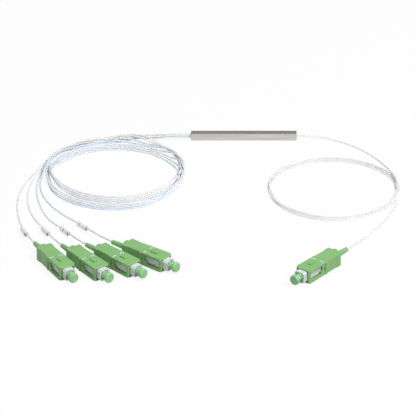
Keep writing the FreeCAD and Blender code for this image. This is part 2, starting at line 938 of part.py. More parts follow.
def fibre_solid(label, points, diameter):
    """A round jacket carried along a route; prints how it bends and how true its volume is."""
    wire, radii = route_wire(points)
    ahead = points[1] - points[0]
    section = Part.Wire([Part.Circle(points[0], ahead, diameter / 2).toShape()])
    solid = wire.makePipeShell([section], True, True)
    expected = math.pi * diameter**2 / 4 * wire.Length
    share = solid.Volume / expected
    tight = " ".join(f"{radius:.0f}" for radius in radii)
    print(f"{label}: length {wire.Length:.1f}, volume share {share:.4f}, radii {tight}")
    return solid


def shape_node(name, shape):
    """A node whose shape is set directly."""
    feature = doc.addObject("Part::Feature", name)
    feature.Label = name
    feature.Shape = shape
    feature.Placement = Placement()
    nodes[name] = feature
    return feature


def as_points(triples):
    """Vectors from number triples."""
    return [Vector(*triple) for triple in triples]


def behind_plug(name, distance):
    """A point on a plug's axis, that far behind its front face."""
    return plug_placement(name).multVec(Vector(-distance, 0, 0))


def tail_points(name):
    """A tail's whole route, ending against the stop ring's stub inside the boot."""
    end = size("stub_rear")
    inside_plug = [behind_plug(name, end + PLUG_RUN), behind_plug(name, end)]
    return as_points(TAIL_ROUTES[name]) + inside_plug


def jacket_start():
    """How far along the tube the jackets begin, inside the end plugs."""
    return size("tube_length") / 2 - size("end_plug_recess") - size("end_plug_length")


def output_starts():
    """Where the four output jackets begin, in the order of output_holes."""
    half = size("output_pitch") / 2
    middle = size("tube_side") / 2
    places = [(half, -half), (-half, half), (-half, -half), (half, half)]
    return [Vector(-jacket_start(), across, middle + up) for across, up in places]


def make_leads():
    """The jackets from the tube's ends to the coils."""
    diameter = size("jacket_diameter")
    leads = []
    for number, (start, route) in enumerate(zip(output_starts(), OUTPUT_LEAD_ROUTES), start=1):
        points = [start, start - Vector(TUBE_RUN, 0, 0)] + as_points(route)
        leads.append(fibre_solid(f"output lead {number}", points, diameter))
    shape_node("output_leads", Part.makeCompound(leads))
    start = Vector(jacket_start(), 0, size("tube_side") / 2)
    points = [start, start + Vector(TUBE_RUN, 0, 0)] + as_points(INPUT_LEAD_ROUTE)
    shape_node("input_lead", fibre_solid("input lead", points, diameter))


def make_tails():
    """The jackets from the coils to the plugs."""
    for name in PLUG_PLACES:
        node = "input_tail" if name == "input" else name.replace("output", "output_tail")
        solid = fibre_solid(node.replace("_", " "), tail_points(name), size("jacket_diameter"))
        shape_node(node, solid)


def make_bare_fibres():
    """The stripped fibres between the glass blocks' shelves and the jackets."""
    radius = size("bare_diameter") / 2
    shelf = size("tube_wall") + size("tube_play") + size("base_thickness")
    height = shelf + radius + BARE_PLAY
    chip_end = size("chip_length") / 2 + size("bond_gap")
    input_exit = chip_end + size("input_block_length") - size("block_shelf")
    output_exit = chip_end + size("output_block_length") - size("block_shelf")
    jacket = Vector(jacket_start(), 0, size("tube_side") / 2)
    pairs = [(Vector(input_exit, 0, height), jacket)]
    order = (0.5, -0.5, -1.5, 1.5)
    for place, end in zip(order, output_starts()):
        pairs.append((Vector(-output_exit, place * size("bare_pitch"), height), end))
    rods = []
    for start, end in pairs:
        along = (end - start).normalize()
        length = start.distanceToPoint(end) - 2 * BARE_PLAY
        rods.append(Part.makeCylinder(radius, length, start + along * BARE_PLAY, along))
    shape_node("bare_fibres", Part.makeCompound(rods))


def make_marker(number, name):
    """A printed sleeve threaded on a tail, hanging from the jacket that it carries."""
    points = tail_points(name)
    start, end = points[-3], points[-2]
    along = (end - start).normalize()
    centre = start + (end - start) * MARKER_SHARES[name]
    down = Vector(0, 0, -1)
    down = (down - along * down.dot(along)).normalize()
    centre += down * size("sleeve_sag")
    side = down.cross(along)
    turned = Rotation(along, side, down * -1, "XYZ")
    body = new_body(f"marker_{number}", Placement(centre, turned))
    sketch = new_sketch(body, "YZ_Plane", f"marker_{number}_section")
    add_circle(sketch, "0", "0", "Sizes.sleeve_radius")
    add_circle(sketch, "0", "0", "Sizes.sleeve_bore_radius")
    extrude(body, "Pad", f"marker_{number}_pad", sketch, "Sizes.sleeve_length", symmetric=True)
    return body


def cylinder(name, radius, height, centre, low="0"):
    """An upright cylinder bound to the sheet."""
    made = doc.addObject("Part::Cylinder", name)
    made.setExpression("Radius", radius)
    made.setExpression("Height", height)
    for axis, text in zip("xyz", (*centre, low)):
        made.setExpression(f"Placement.Base.{axis}", text)
    return made


def make_coil(name, centre):
    """The outer shape of a coil: equal turns, laid a little further towards the plugs each."""
    radius = f"Sizes.{name}_radius"
    band = f"Sizes.{name}_half_band"
    height = f"Sizes.{name}_height"
    spread = f"Sizes.{name}_spread"
    across = str(centre[0])
    far = (across, f"{centre[1]} + {spread} / 2")
    near_side = (across, f"{centre[1]} - {spread} / 2")
    outer = f"{radius} + {band}"
    inner = f"{radius} - {band}"
    between = doc.addObject("Part::Box", f"{name}_between")
    between.setExpression("Length", f"2 * ({outer})")
    between.setExpression("Width", spread)
    between.setExpression("Height", height)
    between.setExpression("Placement.Base.x", f"{across} - ({outer})")
    between.setExpression("Placement.Base.y", near_side[1])
    whole = doc.addObject("Part::MultiFuse", f"{name}_whole")
    whole.Shapes = [
        cylinder(f"{name}_far", outer, height, far),
        cylinder(f"{name}_near", outer, height, near_side),
        between,
    ]
    hollow = doc.addObject("Part::MultiCommon", f"{name}_hollow")
    over = f"{height} + {2 * CUT_OVER}"
    hollow.Shapes = [
        cylinder(f"{name}_far_inside", inner, over, far, f"-{CUT_OVER}"),
        cylinder(f"{name}_near_inside", inner, over, near_side, f"-{CUT_OVER}"),
    ]
    coil = doc.addObject("Part::Cut", name)
    coil.Base = whole
    coil.Tool = hollow
    coil.Label = name
    nodes[name] = coil
    return coil


# ---------------------------------------------------------------- the whole splitter

make_steel_tube()
make_end_plug("input_end_plug", 1, [("0", "0")])
make_end_plug("output_end_plug", -1, output_holes())
make_chip_and_blocks()
make_bare_fibres()
make_leads()
make_tails()
make_coil("output_coil", OUTPUT_COIL_CENTRE)
make_coil("input_coil", INPUT_COIL_CENTRE)
for marker_number, plug in enumerate(MARKER_SHARES, start=1):
    make_marker(marker_number, plug)
for plug in PLUG_PLACES:
    for piece, make_piece in PLUG_PIECES.items():
        make_piece(f"{plug}_{piece}", plug_placement(plug))

doc.recompute()
for made in doc.Objects:
    if "Invalid" in made.State or "Error" in made.State:
        raise RuntimeError(f"{made.Label} failed: {made.State}")
os.makedirs("parts", exist_ok=True)
for node, made in nodes.items():
    shape = made.Shape
    if shape.isNull() or not shape.isValid() or not shape.Solids:
        raise RuntimeError(f"{node} has no valid solid")
    shape.exportStep(f"parts/{node}.step")
print(f"{len(nodes)} nodes written")
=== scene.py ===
# %% [markdown]
# # Dressing a miniature fibre splitter
# The imported model gives every rigid piece its true shape: a square steel tube, five push-pull
# plugs with their caps and boots, and plain tubes where the fibres run. This notebook adds
# what the eye expects on top of that: fibres that lie in loose turns, paint in the moulded
# marks, wound springs, printed numbers on the sleeves, and a finish for every
# material.
# Everything is in metres, in the model's own frame, so a piece goes where the model says.

# %% Load the model
import math

import bpy
import numpy as np
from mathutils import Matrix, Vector


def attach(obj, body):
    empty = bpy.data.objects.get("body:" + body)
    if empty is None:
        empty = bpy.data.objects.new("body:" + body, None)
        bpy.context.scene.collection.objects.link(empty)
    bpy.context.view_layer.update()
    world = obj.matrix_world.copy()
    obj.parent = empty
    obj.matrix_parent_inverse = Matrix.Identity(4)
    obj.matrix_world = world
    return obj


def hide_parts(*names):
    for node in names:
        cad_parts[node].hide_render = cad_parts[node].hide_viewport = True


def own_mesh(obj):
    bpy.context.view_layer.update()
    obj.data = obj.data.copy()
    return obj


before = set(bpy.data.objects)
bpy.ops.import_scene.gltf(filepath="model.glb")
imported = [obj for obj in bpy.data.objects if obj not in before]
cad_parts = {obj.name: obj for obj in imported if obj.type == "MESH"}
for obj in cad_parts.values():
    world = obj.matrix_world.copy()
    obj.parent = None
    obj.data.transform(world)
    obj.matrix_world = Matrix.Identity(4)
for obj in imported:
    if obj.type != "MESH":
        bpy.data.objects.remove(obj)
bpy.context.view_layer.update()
MM = 0.001

# %% [markdown]
# ## The camera
# A small part is usually shot from far away with a long lens, so that its parallel edges stay
# nearly parallel. The camera stands 1.8 m away, 27 degrees above the table. The alternative is
# an orthographic camera, which loses the last hint of depth that a real lens keeps.

# %% Place the camera
CAMERA_TARGET = Vector((-0.0190, -0.0801, 0.0))
CAMERA_DISTANCE = 1.807
CAMERA_ELEVATION = math.radians(27.24)
CAMERA_LENS = 306.0
SENSOR_WIDTH = 36.0
CLIP = (0.1, 20.0)

camera_data = bpy.data.cameras.new("studio_camera")
camera_data.lens = CAMERA_LENS
camera_data.sensor_width = SENSOR_WIDTH
camera_data.clip_start, camera_data.clip_end = CLIP
camera = bpy.data.objects.new("studio_camera", camera_data)
backwards = Vector((0.0, -math.cos(CAMERA_ELEVATION), math.sin(CAMERA_ELEVATION)))
camera.location = CAMERA_TARGET + backwards * CAMERA_DISTANCE
camera.rotation_euler = (math.pi / 2 - CAMERA_ELEVATION, 0.0, 0.0)
bpy.context.scene.collection.objects.link(camera)
bpy.context.scene.camera = camera
print("camera at", [round(x, 3) for x in camera.location])

# %% [markdown]
# ## A small set of node helpers
# A finish is a Principled shader with something procedural behind its colour, roughness and
# bump. Writing each link by hand hides what matters, so a few helpers make a material, add
# its nodes and join them. Colours are given as they look on a screen and turned to linear.

# %% Colours and materials


def linear(red, green, blue):
    """A screen colour (0 to 255) as linear light: the inverse of the sRGB curve per channel."""
    screen = np.array([red, green, blue]) / 255.0
    light = np.where(screen <= 0.04045, screen / 12.92, ((screen + 0.055) / 1.055) ** 2.4)
    return (*[float(x) for x in light], 1.0)


def grey(level):
    """A linear grey of that level."""
    return (level, level, level, 1.0)


def shade(colour, share):
    """A linear colour times a share, up to full white."""
    return (*[min(float(x) * share, 1.0) for x in colour[:3]], 1.0)


def new_finish(name, **sockets):
    """A material with one Principled shader whose plain sockets are set by name."""
    material = bpy.data.materials.new(name)
    material.use_nodes = True
    shader = material.node_tree.nodes["Principled BSDF"]
    for label, number in sockets.items():
        shader.inputs[label.replace("_", " ")].default_value = number
    return material, material.node_tree, shader


def add_node(tree, kind, inputs=None, **settings):
    """A node of that kind. inputs maps a socket's name or number to a number or a source."""
    node = tree.nodes.new(kind)
    for label, number in settings.items():
        setattr(node, label, number)
    for label, source in (inputs or {}).items():
        if isinstance(source, bpy.types.NodeSocket):
            tree.links.new(source, node.inputs[label])
        else:
            node.inputs[label].default_value = source
    return node


print("colours and materials ready")

# %% [markdown]
# ## Patterns, sums and bumps
# The same few nodes come back in every finish: a place on the piece, noise over that place, a
# ramp that turns the noise into a colour, a sum, and a bump. Each is a function here that
# gives back the socket to link from, so that a finish reads like a sentence. The place is the
# piece's own and not the world's, so a pattern stays put when the piece moves.

# %% Pattern helpers


def object_point(tree, stretch=(1.0, 1.0, 1.0)):
    """The point's own place on the piece, stretched per axis to draw out a pattern."""
    place = add_node(tree, "ShaderNodeTexCoord").outputs["Object"]
    mapping = add_node(tree, "ShaderNodeMapping", {"Vector": place})
    mapping.inputs["Scale"].default_value = stretch
    return mapping.outputs["Vector"]


def noise(tree, point, scale, detail=2.0, roughness=0.5):
    """Smooth noise at that many cells per metre."""
    inputs = {"Vector": point, "Scale": scale, "Detail": detail, "Roughness": roughness}
    return add_node(tree, "ShaderNodeTexNoise", inputs).outputs["Fac"]


def ramp(tree, source, low, high, start=0.3, end=0.7):
    """A colour that goes from low to high as the source goes from start to end."""
    node = add_node(tree, "ShaderNodeValToRGB", {"Fac": source})
    for element, place, colour in zip(node.color_ramp.elements, (start, end), (low, high)):
        element.position = place
        element.color = colour
    return node.outputs["Color"]


def between(tree, source, low, high):
    """A number that goes from low to high as the source goes from 0 to 1."""
    inputs = {"Value": source, "To Min": low, "To Max": high}
    return add_node(tree, "ShaderNodeMapRange", inputs).outputs["Result"]


def combine(tree, operation, first, second=0.0):
    """The result of a sum such as ADD or MULTIPLY on two numbers or sources."""
    inputs = {0: first, 1: second}
    return add_node(tree, "ShaderNodeMath", inputs, operation=operation).outputs[0]


def mix(tree, share, low, high):
    """A colour that goes from low to high as the share goes from 0 to 1."""
    return add_node(tree, "ShaderNodeMixRGB", {0: share, 1: low, 2: high}).outputs[0]


def add_bump(tree, shader, height, depth, strength=1.0, rounding=0.0):
    """Raises the surface by depth metres where height is 1, on edges rounded by a radius."""
    bump = add_node(tree, "ShaderNodeBump", {"Height": height})
    bump.inputs["Distance"].default_value = depth
    bump.inputs["Strength"].default_value = strength
    if rounding:
        soft = add_node(tree, "ShaderNodeBevel", {"Radius": rounding}, samples=4)
        tree.links.new(soft.outputs["Normal"], bump.inputs["Normal"])
    tree.links.new(bump.outputs["Normal"], shader.inputs["Normal"])


print("pattern helpers ready")

# %% [markdown]
# ## The table
# The part lies on a plain white table. For the camera and for mirrors the table is mostly its
# own white, with a small share of real shading, so the object keeps a faint shadow without
# any lamp being turned up. The light that it throws back is set apart from that: grey under
# the plugs, whose lower sides stay dark, and near white under the coils, where thin tubes are
# lit from all round. One bounce for both would wash out the plugs or leave the tubes dull.

# %% Build the table
TABLE_HALF_WIDTH = 3.0
SHADOW_SHARE = 0.12
TABLE_WHITE = grey(0.97)
PLUG_FLOOR = grey(0.38)
COIL_FLOOR = grey(0.95)
# the places along the table, in metres, between which the one bounce turns into the other
PLUG_FLOOR_UNTIL = -0.14
COIL_FLOOR_FROM = -0.108
# a ramp only reads from 0 to 1, so a place y is given to it as 1 + scale * y
FLOOR_SCALE = 5.0

table_mesh = bpy.data.meshes.new("table")
corners = [(-1, -1), (1, -1), (1, 1), (-1, 1)]
corners = [(x * TABLE_HALF_WIDTH, y * TABLE_HALF_WIDTH, 0.0) for x, y in corners]
table_mesh.from_pydata(corners, [], [(0, 1, 2, 3)])
table = bpy.data.objects.new("table", table_mesh)
bpy.context.scene.collection.objects.link(table)

table_finish, tree, shader = new_finish("table_white", Roughness=0.9)
rays = add_node(tree, "ShaderNodeLightPath").outputs
place = object_point(tree, (1.0, FLOOR_SCALE, 1.0))
depth = add_node(tree, "ShaderNodeSeparateXYZ", {0: place}).outputs["Y"]
edges = [1.0 + FLOOR_SCALE * y for y in (PLUG_FLOOR_UNTIL, COIL_FLOOR_FROM)]
bounce = ramp(tree, combine(tree, "ADD", depth, 1.0), PLUG_FLOOR, COIL_FLOOR, *edges)
tone = mix(tree, rays["Is Camera Ray"], bounce, TABLE_WHITE)
tree.links.new(tone, shader.inputs["Base Color"])
seen = combine(tree, "MAXIMUM", rays["Is Camera Ray"], rays["Is Glossy Ray"])
seen = combine(tree, "MAXIMUM", seen, rays["Is Transmission Ray"])
share = combine(tree, "MULTIPLY", seen, 1.0 - SHADOW_SHARE)
glow = add_node(tree, "ShaderNodeEmission", {"Color": grey(1.0), "Strength": 1.0}).outputs[0]
inputs = {0: share, 1: shader.outputs[0], 2: glow}
mixed = add_node(tree, "ShaderNodeMixShader", inputs).outputs[0]
tree.links.new(mixed, tree.nodes["Material Output"].inputs["Surface"])
table_mesh.materials.append(table_finish)
print("table ready")

# %% [markdown]
# ## The sky and the lamps
# A key lamp from the upper right and a dim sky give the moulded faces their different greens.
# The sky is darker overhead, which is what a ceiling does, and a metal face that looks up
# mirrors it. The camera itself sees plain white.

# %% Build the sky and the lamps
SKY_LEVEL = 0.36
MIRROR_CEILING = 0.35
# the heights of a mirrored direction between which the white wall turns into the ceiling
WALL_UNTIL = 0.02
CEILING_FROM = 0.30

sky = bpy.data.worlds.new("studio_sky")
bpy.context.scene.world = sky
sky.use_nodes = True
tree = sky.node_tree
rays = add_node(tree, "ShaderNodeLightPath").outputs
direction = add_node(tree, "ShaderNodeTexCoord").outputs["Generated"]
height = add_node(tree, "ShaderNodeSeparateXYZ", {0: direction}).outputs["Z"]
ceiling = ramp(tree, height, grey(1.0), grey(MIRROR_CEILING), WALL_UNTIL, CEILING_FROM)
mirrored = combine(tree, "MAXIMUM", rays["Is Glossy Ray"], rays["Is Transmission Ray"])
light = mix(tree, mirrored, grey(SKY_LEVEL), ceiling)
light = mix(tree, rays["Is Camera Ray"], light, grey(1.0))
tree.links.new(light, tree.nodes["Background"].inputs["Color"])


def add_lamp(name, direction, distance, width, level):
    """A square area lamp aimed at the part. level is the light on a white face that looks at
    it, as a share of full white: power = level * pi^2 * distance^2."""
    lamp_data = bpy.data.lights.new(name, "AREA")
    lamp_data.size = width
    lamp_data.energy = level * math.pi**2 * distance**2
    lamp = bpy.data.objects.new(name, lamp_data)
    aim = Vector(direction).normalized()
    lamp.location = CAMERA_TARGET + aim * distance
    lamp.rotation_euler = aim.to_track_quat("Z", "Y").to_euler()
    bpy.context.scene.collection.objects.link(lamp)


add_lamp("key_lamp", direction=(0.80, -0.60, 1.45), distance=2.0, width=0.9, level=0.72)
add_lamp("fill_lamp", direction=(-0.5, -0.8, 0.9), distance=2.5, width=1.6, level=0.08)
bpy.context.scene.view_settings.view_transform = "Standard"
print("sky and lamps ready")

# %% [markdown]
# ## Where the fibres run
# Each fibre is one 0.9 mm loose tube from the steel tube to its plug. The points below are
# the corners of its route on the table, in millimetres, and a spline of order three rounds
# them. A chain of straight runs with arcs would also do, but it looks like bent wire. Both
# ends are held first: the steel tube's and the plug's.

# %% Both ends of a fibre
JACKET = 0.9
# the plug: the height of its axis, and how far its stop ring's stub ends behind its front
AXIS_HEIGHT = 3.65
STUB_END = 27.0
# the straight run at both ends of a fibre
LAST_RUN = 14.0
# the steel tube: the height of its axis, and the places of a lead's end and of its own end
TUBE_MIDDLE = 2.0
LEAD_START = 23.7

# the front of each plug on the table, and its heading in degrees
PLUG_PLACES = {
    "input": (27.3, -159.4, -129.6),
    "output_1": (-39.4, -146.9, -39.6),
    "output_2": (-55.1, -152.9, -46.4),
    "output_3": (-71.0, -156.8, -54.2),
    "output_4": (-87.9, -156.6, -60.5),
}
# where each output fibre leaves the tube: across and up from its middle
OUTPUT_EXITS = {
    "output_1": (0.55, -0.55),
    "output_2": (-0.55, 0.55),
    "output_3": (-0.55, -0.55),
    "output_4": (0.55, 0.55),
}
print("ends for", ", ".join(PLUG_PLACES))

# %% [markdown]
# ## The way to the coil and back
# A lead comes down from the steel tube onto the table and runs into the coil. A tail leaves
# the coil, fans out from its neighbours and climbs into its plug's boot in the last points.

# %% The leads and tails
LEAD_ROUTES = {
    "output_1": [(-45.0, 0.5, 0.8), (-52.0, -0.1, 0.45), (-59.0, -1.9, 0.45), (-66.0, -4.4, 0.45)],
    "output_2": [(-45.0, -0.8, 1.4), (-52.0, -1.2, 0.6), (-59.0, -1.8, 0.45), (-66.0, -3.0, 0.45)],
    "output_3": [(-45.0, -0.5, 0.8), (-52.0, 0.0, 0.45), (-59.0, 0.6, 0.45), (-66.0, 0.6, 0.45)],
    "output_4": [(-45.0, 0.9, 1.4), (-52.0, 0.9, 0.6), (-59.0, -0.1, 0.45), (-66.0, -1.2, 0.45)],
    "input": [(53.0, -5.0, 0.45), (65.0, -17.0, 0.45), (73.5, -32.0, 0.45)],
}
TAIL_ROUTES = {
    "input": [(78.4, -75.0, 0.45), (72.6, -92.5, 0.45), (63.6, -110.0, 1.1)],
    "output_1": [
        (-101.1, -28.9, 0.45), (-103.3, -35.6, 0.45), (-104.6, -42.0, 0.45),
        (-106.4, -59.0, 0.45), (-100.9, -76.5, 0.45), (-91.5, -90.8, 0.6),
        (-83.6, -101.8, 2.1),
    ],
    "output_2": [
        (-101.9, -27.1, 0.45), (-104.6, -35.0, 0.45), (-106.3, -43.0, 0.45),
        (-107.9, -60.5, 0.45), (-105.2, -78.5, 0.45), (-100.0, -95.0, 0.6),
        (-91.8, -107.6, 2.1),
    ],
    "output_3": [
        (-101.8, -24.0, 0.45), (-104.9, -32.8, 0.45), (-107.4, -41.5, 0.45),
        (-111.4, -57.0, 0.45), (-111.8, -74.5, 0.45), (-108.2, -91.6, 0.6),
        (-101.4, -107.7, 2.1),
    ],
    "output_4": [
        (-102.4, -25.2, 0.45), (-105.9, -33.2, 0.45), (-109.1, -41.0, 0.45),
        (-114.8, -57.0, 0.45), (-117.0, -74.0, 0.45), (-115.5, -92.0, 0.6),
        (-112.2, -107.5, 2.1),
    ],
}


def on_plug(name, points):
    """Points of a plug's own frame, X forward from the grip's front and Z up from the table,
    as points of the model in millimetres: a turn by the plug's heading and a shift."""
    x, y, heading = PLUG_PLACES[name]
    cos, sin = math.cos(math.radians(heading)), math.sin(math.radians(heading))
    turn = np.array([[cos, sin, 0.0], [-sin, cos, 0.0], [0.0, 0.0, 1.0]])
    return np.asarray(points, float) @ turn + np.array([x, y, 0.0])


def plug_end(name):
    """The last straight run of a fibre, through the boot to the stop ring's stub."""
    return on_plug(name, [(-STUB_END - LAST_RUN, 0, AXIS_HEIGHT), (-STUB_END, 0, AXIS_HEIGHT)])


print("tail points:", {name: len(route) for name, route in TAIL_ROUTES.items()})

# %% [markdown]
# ## The coils
# Four fibres were wound together, two and an eighth turns, and laid down a little off each
# other. Every turn is nearly the same circle, but its middle is pushed along the table, so
# the strands fan out at the front and the back and gather at both sides. The alternative, a
# neat helix, has no such fan. A strand's place in the fan is called its rank.

# %% Sizes of the coils
POINTS_PER_TURN = 48
# a spline of order three passes inside the points of a circle by this factor
INSIDE = 1.0 - math.sin(math.pi / POINTS_PER_TURN) ** 2 / 2.0

# the output coil: its middle, radius, first and last angle, and the middle's shift per rank
OUTPUT_MIDDLE = (-67.1, -33.7)
OUTPUT_RADIUS = 34.7
OUTPUT_ANGLES = (105.0, 871.0)
STRAND_STEP = 2.06
COIL_ORDER = {"output_3": 0, "output_4": 1, "output_2": 2, "output_1": 3}
# the rank on top of that order, and how far all strands lean out on the left: each step is
# the angle of a change, its width, and the value after it
RANK_STEPS = [(0, 1, 0.5), (180, 60, 4.0), (540, 60, 0.0)]
LEAN = 0.80
LEAN_STEPS = [(0, 1, LEAN), (360, 120, -LEAN), (720, 120, 2.2 * LEAN)]
# how far a strand is bowed in at each side: the scale, middle and offset of a parabola
RIGHT_BOW = (0.25, 3.5, 6.0)
LEFT_BOW = (0.40, 1.5, 1.25)

# the input coil, whose middle drifts and whose radius waves a little
INPUT_MIDDLE = (45.9, -56.6)
INPUT_RADIUS = 33.4
INPUT_ANGLES = (15.0, -1066.0)
INPUT_DRIFT = 5.0
INPUT_WAVE = 0.5
INPUT_STRETCH = 1.02
print("coils of", 2 * OUTPUT_RADIUS, "and", 2 * INPUT_RADIUS, "mm across their middle line")

# %% [markdown]
# ## The turns
# A turn is points at even angles on its circle. The rank changes smoothly with the angle, and
# both the circle's middle and its radius follow from the rank. The whole turn is worked out at
# once as arrays of angles, radii and places, and lies flat on the table for now.

# %% Turns of both coils


def blend_steps(angle, steps):
    """A value that changes smoothly at given angles: steps is (angle, width, value after)."""
    value = np.full_like(angle, steps[0][2], dtype=float)
    for centre, width, after in steps[1:]:
        share = np.clip((angle - centre) / width + 0.5, 0.0, 1.0)
        value += (after - value) * share * share * (3.0 - 2.0 * share)
    return value


def bow_at(rank, bow):
    """The parabola scale * ((rank - middle)^2 - offset)."""
    scale, middle, offset = bow
    return scale * ((rank - middle) ** 2 - offset)


def on_table(x, y):
    """Points that lie on the table with half a jacket under their middle."""
    return np.stack([x, y, np.full_like(x, JACKET / 2)], axis=1)


def output_turns(name):
    """Two and an eighth turns, counter-clockwise. The circle's middle moves towards the plugs
    by a step per rank, and its radius gains cos^2 of the angle times a bow, a parabola in the
    rank, so that strands don't all cross at one spot."""
    order = COIL_ORDER[name]
    angle = np.arange(*OUTPUT_ANGLES, 360.0 / POINTS_PER_TURN)
    rank = blend_steps(angle, [(at, width, order + more) for at, width, more in RANK_STEPS])
    turn = np.radians(angle)
    right = -bow_at(rank, RIGHT_BOW)
    left = blend_steps(angle, LEAN_STEPS) - bow_at(order, LEFT_BOW)
    bow = np.where(np.cos(turn) > 0.0, right, left)
    radius = OUTPUT_RADIUS / INSIDE + bow * np.cos(turn) ** 2
    x = OUTPUT_MIDDLE[0] + radius * np.cos(turn)
    y = OUTPUT_MIDDLE[1] - STRAND_STEP * rank + radius * np.sin(turn)
    return on_table(x, y)


def input_turns():
    """Three turns, clockwise, whose middle drifts along the table by a few millimetres."""
    angle = np.arange(*INPUT_ANGLES, -360.0 / POINTS_PER_TURN)
    turn = np.radians(angle)
    done = (angle[0] - angle) / (angle[0] - angle[-1])
    wave = INPUT_WAVE * np.cos(turn) ** 2 * np.cos(2.0 * math.pi * done)
    radius = INPUT_RADIUS / INSIDE - wave
    x = INPUT_MIDDLE[0] + radius * np.cos(turn)
    y = INPUT_MIDDLE[1] - INPUT_DRIFT * done + INPUT_STRETCH * radius * np.sin(turn)
    return on_table(x, y)


def fibre_points(name):
    """A fibre's whole route in millimetres: the lead, the turns, the tail and the plug."""
    if name == "input":
        exit_point = [(LEAD_START, 0.0, TUBE_MIDDLE), (LEAD_START + LAST_RUN, 0.0, TUBE_MIDDLE)]
        turns = input_turns()
    else:
        across, up = OUTPUT_EXITS[name]
        start = (-LEAD_START, across, TUBE_MIDDLE + up)
        exit_point = [start, (start[0] - LAST_RUN, start[1], start[2])]
        turns = output_turns(name)
    parts = [exit_point, LEAD_ROUTES[name], turns, TAIL_ROUTES[name], plug_end(name)]
    return np.concatenate([np.asarray(part, float) for part in parts])


print("points per fibre:", {name: len(fibre_points(name)) for name in PLUG_PLACES})

# %% [markdown]
# ## Laying the fibres
# A fibre is one NURBS curve with a round bevel. A tube worked out point by point would look
# the same, but a curve stays easy to edit and knows its own length. The order is set after the
# points, because a spline without points keeps its order at two, which is straight runs.

# %% Make a fibre and read its line
FIBRE_STEPS = 6
BEVEL_STEPS = 3


def lay_fibre(name, points, steps=FIBRE_STEPS):
    """A tube of the jacket's diameter along one open spline of order three. The bevel is one
    metre times each point's radius, because a curve's box is measured from the radii."""
    curve = bpy.data.curves.new(name, "CURVE")
    curve.dimensions = "3D"
    curve.bevel_depth = 1.0
    curve.bevel_resolution = BEVEL_STEPS
    curve.resolution_u = steps
    curve.use_fill_caps = True
    spline = curve.splines.new("NURBS")
    spline.points.add(len(points) - 1)
    spline.points.foreach_set("co", np.c_[points * MM, np.ones(len(points))].ravel())
    spline.points.foreach_set("radius", np.full(len(points), JACKET / 2 * MM))
    spline.order_u = 3
    spline.use_endpoint_u = True
    fibre = bpy.data.objects.new(name, curve)
    bpy.context.scene.collection.objects.link(fibre)
    return fibre


def discard(thing):
    """Removes a curve object and its curve."""
    curve = thing.data
    bpy.data.objects.remove(thing)
    bpy.data.curves.remove(curve)


def line_of(fibre):
    """The points of a fibre's centreline, read from its spline through a curve without bevel."""
    bare = fibre.copy()
    bare.data = fibre.data.copy()
    bare.data.bevel_depth = 0.0
    mesh = bpy.data.meshes.new_from_object(bare)
    line = np.empty(len(mesh.vertices) * 3)
    mesh.vertices.foreach_get("co", line)
    bpy.data.meshes.remove(mesh)
    discard(bare)
    return line.reshape(-1, 3)


def way_along(line):
    """How far each point lies along the line: the running sum of the steps between points."""
    return np.r_[0.0, np.cumsum(np.linalg.norm(np.diff(line, axis=0), axis=1))]


print("fibre tools ready")

# %% [markdown]
# ## Where a strand rests
# Where strands cross, one has to lie over the other. A cloth or rope simulation could find
# that, but fibres that only lie on a table have a simpler rule: each comes to rest on what is
# already there. A stiff fibre can't fall straight off what it lies on, so its height drops
# with the square of the distance.

# %% Find where a strand rests
# the least distance between the middles of two tubes, a little over a jacket
CLEARANCE = 0.94
# how fast a strand drops beside what it lies on: height = fall * distance^2
FALL = 0.014
# a strand doesn't rest on itself within this way along it
NEIGHBOUR_REACH = 25.0
# the ends that the steel tube and the plug hold
FIXED_START = 18.0
FIXED_END = 15.0
PROBE_STEPS = 8
# so many points at a time are compared with those below, to save memory
BLOCK = 400


def rest_height(line, way, fibre, below):
    """The height at which each point just clears the points below it: their height plus
    sqrt(clearance^2 - d^2), with d the distance as seen from above, or -1 where none is near."""
    height = np.full(len(line), -1.0)
    for low in range(0, len(line) if len(below) else 0, BLOCK):
        part = slice(low, low + BLOCK)
        square = ((line[part, None, :2] - below[None, :, :2]) ** 2).sum(axis=2)
        near = np.abs(below[None, :, 4] - way[part, None]) < NEIGHBOUR_REACH
        same = (below[None, :, 3] == fibre) & near
        lift = below[None, :, 2] + np.sqrt(np.clip(CLEARANCE**2 - square, 0.0, None))
        height[part] = np.where((square < CLEARANCE**2) & ~same, lift, -1.0).max(axis=1)
    return height


def trace(name, points):
    """A fibre's line in millimetres, and for each point of it the way along the fibre, the
    turns done, and whether it may be raised, which the ends in the tube and plug may not."""
    probe = lay_fibre("probe", points, PROBE_STEPS)
    line = line_of(probe) / MM
    discard(probe)
    spot = np.arange(len(line)) / (len(line) - 1) * (len(points) - 2) + 0.5
    lead = len(LEAD_ROUTES[name]) + 2
    way = way_along(line)
    free = (way > FIXED_START) & (way < way[-1] - FIXED_END)
    return line, way, (spot - lead) / POINTS_PER_TURN, free


def raise_line(line, way, free, rest):
    """Lifts a line to its resting heights. Beside each, it falls off as a parabola."""
    held = np.flatnonzero(rest > 0.0)
    if len(held):
        arcs = rest[held] - FALL * (way[:, None] - way[held]) ** 2
        raised = np.maximum(line[:, 2], arcs.max(axis=1))
        line[:, 2] = np.where(free, raised, line[:, 2])


def raise_points(route, line, free):
    """Gives a spline's points the heights of the settled line. The spline takes an eighth of
    the bend off each point, so that much is put back."""
    share = (np.arange(len(route)) - 0.5) / (len(route) - 2)
    spot = np.clip(np.round(share * (len(line) - 1)), 0, len(line) - 1).astype(int)
    height = line[spot, 2]
    bent = height[1:-1] - (height[2:] - 2.0 * height[1:-1] + height[:-2]) / 8.0
    height = np.r_[height[0], bent, height[-1]]
    route[:, 2] = np.where(free[spot], np.maximum(height, JACKET / 2), route[:, 2])


print("resting helpers ready")

